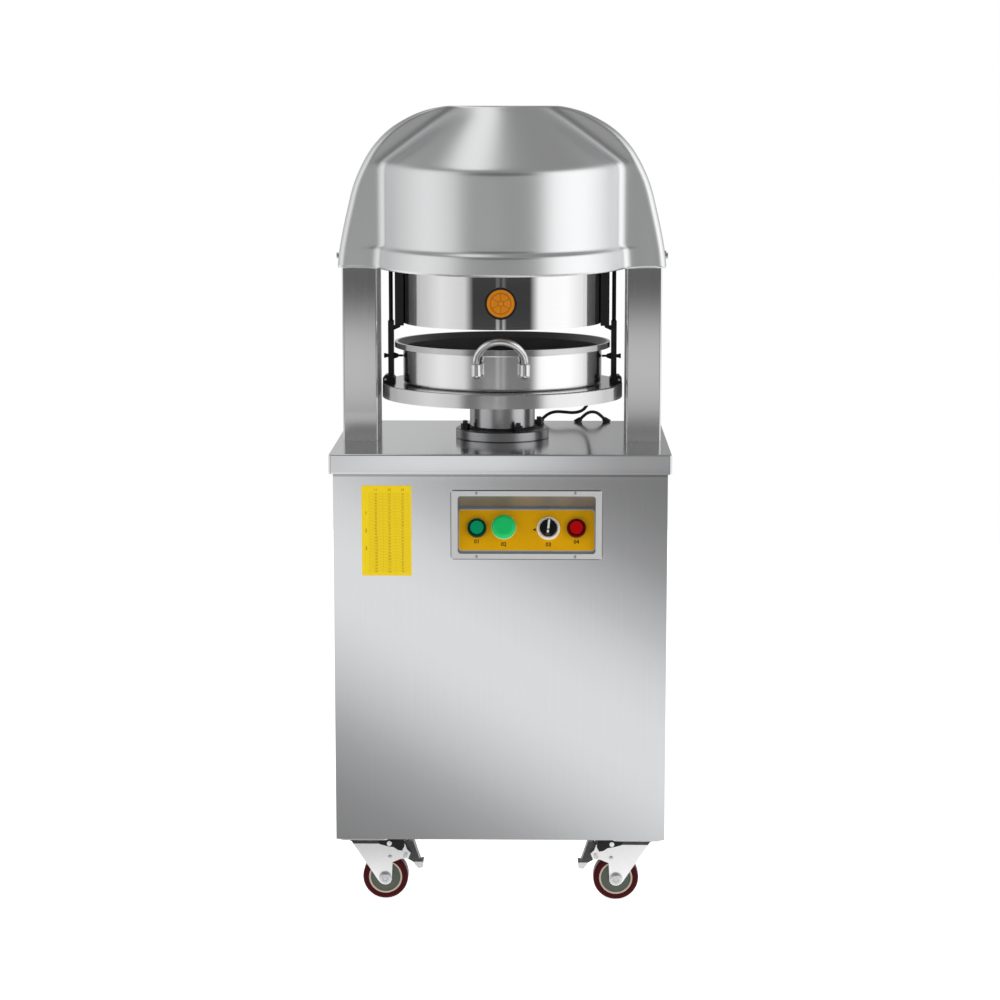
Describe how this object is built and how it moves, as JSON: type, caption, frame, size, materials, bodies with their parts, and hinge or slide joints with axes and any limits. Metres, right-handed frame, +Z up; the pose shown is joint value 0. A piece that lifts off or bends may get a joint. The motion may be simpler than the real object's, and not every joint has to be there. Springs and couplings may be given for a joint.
{
  "type": "dough divider",
  "caption": "Floor-standing bakery dough divider with a steel cabinet on casters, a lifting tray and pan, and a hooded head that presses and cuts dough.",
  "frame": {"origin": "on the floor, at the middle of the footprint", "axes": "+Z up, -Y towards the user at the control panel, +X to the user's right"},
  "size_m": [0.55, 0.446, 1.3048],
  "materials": {
    "sheet_steel": "brushed stainless sheet",
    "hood_steel": "satin silver shell",
    "polished_steel": "polished stainless",
    "black_metal": "satin black",
    "machined_steel": "turned steel",
    "bolt_steel": "plain steel",
    "grey_casting": "grey paint over casting",
    "tank_paint": "grey paint",
    "pad_plastic": "white food-grade plastic",
    "blade_steel": "ground stainless",
    "pan_metal": "spun satin metal",
    "handle_chrome": "bright chrome",
    "badge_face": "glossy amber in a black ring",
    "frame_metal": "pale silver",
    "amber_plate": "amber film over metal",
    "chart_yellow": "yellow print on metal",
    "switch_body": "moulded switch body",
    "green_cap": "moulded green",
    "pale_green_cap": "moulded pale green",
    "red_cap": "moulded red",
    "black_knob": "moulded black",
    "black_rubber": "matte black",
    "black_plastic": "moulded black",
    "zinc": "bright zinc plate",
    "wheel_tread": "burgundy tread on a grey hub",
    "pedal_black": "black pedal"
  },
  "bodies": {
    "machine": {"cabinet_shell": "sheet_steel", "base_plate": "sheet_steel", "power_gland": "black_plastic", "rear_panel": "sheet_steel", "cover_screws": "bolt_steel", "tabletop": "sheet_steel", "left_post": "sheet_steel", "right_post": "sheet_steel", "head_beam": "grey_casting", "hood": "hood_steel", "head_drum": "polished_steel", "badge": "badge_face", "guide_blocks": "black_metal", "press_cylinder": "grey_casting", "lift_cylinder": "grey_casting", "base_flange": "machined_steel", "flange_bolts": "bolt_steel", "motor": "grey_casting", "hydraulic_unit": "grey_casting", "oil_tank": "tank_paint", "contactor_box": "black_plastic", "control_frame": "frame_metal", "control_pocket": "sheet_steel", "control_plate": "amber_plate", "device_bezels": "switch_body", "chart_plate": "chart_yellow", "sensor_lead": "black_rubber", "switch_lead": "black_rubber", "lead_grommets": "black_rubber", "caster_plates": "zinc"},
    "ram": {"lift_ram": "machined_steel", "tray": "polished_steel", "tray_lugs": "black_metal", "side_bars": "black_metal", "guide_rods": "black_metal", "tray_sensor": "black_plastic"},
    "left_screw": {"left_centring_screw": "machined_steel"},
    "right_screw": {"right_centring_screw": "machined_steel"},
    "dough_pan": {"pan": "pan_metal", "pan_handle": "handle_chrome", "handle_ferrules": "handle_chrome"},
    "press": {"press_pads": "pad_plastic", "press_platen": "blade_steel"},
    "knives": {"knife_grid": "blade_steel", "knife_carrier": "blade_steel", "knife_rod": "blade_steel"},
    "start": {"start_button": "green_cap"},
    "stop": {"stop_button": "red_cap"},
    "mushroom": {"mushroom_button": "pale_green_cap"},
    "selector": {"selector_knob": "black_knob"},
    "front_left_caster": {"front_left_fork": "zinc"},
    "front_left_roller": {"front_left_wheel": "wheel_tread"},
    "front_left_brake": {"front_left_pedal": "pedal_black"},
    "front_right_caster": {"front_right_fork": "zinc"},
    "front_right_roller": {"front_right_wheel": "wheel_tread"},
    "front_right_brake": {"front_right_pedal": "pedal_black"},
    "rear_left_caster": {"rear_left_fork": "zinc"},
    "rear_left_roller": {"rear_left_wheel": "wheel_tread"},
    "rear_right_caster": {"rear_right_fork": "zinc"},
    "rear_right_roller": {"rear_right_wheel": "wheel_tread"}
  },
  "joints": [
    {"name": "ram_lift", "type": "slide", "parent": "machine", "child": "ram", "axis": [0, 0, 1], "range_m": [0, 0.027], "deforming": ["sensor_lead"]},
    {"name": "pan_slide", "type": "slide", "parent": "ram", "child": "dough_pan", "axis": [0, 1, 0], "range_m": [-0.46, 0]},
    {"name": "left_screw_travel", "type": "slide", "parent": "ram", "child": "left_screw", "axis": [-1, 0, 0], "range_m": [0, 0.006]},
    {"name": "right_screw_travel", "type": "slide", "parent": "ram", "child": "right_screw", "axis": [1, 0, 0], "range_m": [0, 0.006]},
    {"name": "press_stroke", "type": "slide", "parent": "machine", "child": "press", "axis": [0, 0, -1], "range_m": [0, 0.04]},
    {"name": "knife_stroke", "type": "slide", "parent": "press", "child": "knives", "axis": [0, 0, -1], "range_m": [0, 0.016]},
    {"name": "start_push", "type": "slide", "parent": "machine", "child": "start", "axis": [0, 0.9383, -0.3459], "range_m": [0, 0.004], "stiffness_N_per_m": 500},
    {"name": "mushroom_push", "type": "slide", "parent": "machine", "child": "mushroom", "axis": [0, 0.9383, -0.3459], "range_m": [0, 0.004], "stiffness_N_per_m": 500},
    {"name": "stop_push", "type": "slide", "parent": "machine", "child": "stop", "axis": [0, 0.9383, -0.3459], "range_m": [0, 0.004], "stiffness_N_per_m": 500},
    {"name": "selector_turn", "type": "hinge", "parent": "machine", "child": "selector", "pos_m": [0.0777, -0.19596, 0.62756], "axis": [0, -0.9383, 0.3459], "range_deg": [-45, 45]},
    {"name": "front_left_swivel", "type": "hinge", "parent": "machine", "child": "front_left_caster", "pos_m": [-0.225, -0.16, 0.1], "axis": [0, 0, 1], "continuous": true},
    {"name": "front_left_roll", "type": "hinge", "parent": "front_left_caster", "child": "front_left_roller", "pos_m": [-0.191, -0.16, 0.0375], "axis": [0, 1, 0], "continuous": true},
    {"name": "front_left_brake_press", "type": "hinge", "parent": "front_left_caster", "child": "front_left_brake", "pos_m": [-0.157, -0.16, 0.077], "axis": [0, 1, 0], "range_deg": [0, 12]},
    {"name": "front_right_swivel", "type": "hinge", "parent": "machine", "child": "front_right_caster", "pos_m": [0.225, -0.16, 0.1], "axis": [0, 0, 1], "continuous": true},
    {"name": "front_right_roll", "type": "hinge", "parent": "front_right_caster", "child": "front_right_roller", "pos_m": [0.191, -0.16, 0.0375], "axis": [0, 1, 0], "continuous": true},
    {"name": "front_right_brake_press", "type": "hinge", "parent": "front_right_caster", "child": "front_right_brake", "pos_m": [0.157, -0.16, 0.077], "axis": [0, -1, 0], "range_deg": [0, 12]},
    {"name": "rear_left_swivel", "type": "hinge", "parent": "machine", "child": "rear_left_caster", "pos_m": [-0.225, 0.16, 0.1], "axis": [0, 0, 1], "continuous": true},
    {"name": "rear_left_roll", "type": "hinge", "parent": "rear_left_caster", "child": "rear_left_roller", "pos_m": [-0.191, 0.16, 0.0375], "axis": [0, 1, 0], "continuous": true},
    {"name": "rear_right_swivel", "type": "hinge", "parent": "machine", "child": "rear_right_caster", "pos_m": [0.225, 0.16, 0.1], "axis": [0, 0, 1], "continuous": true},
    {"name": "rear_right_roll", "type": "hinge", "parent": "rear_right_caster", "child": "rear_right_roller", "pos_m": [0.191, 0.16, 0.0375], "axis": [0, 1, 0], "continuous": true}
  ]
}
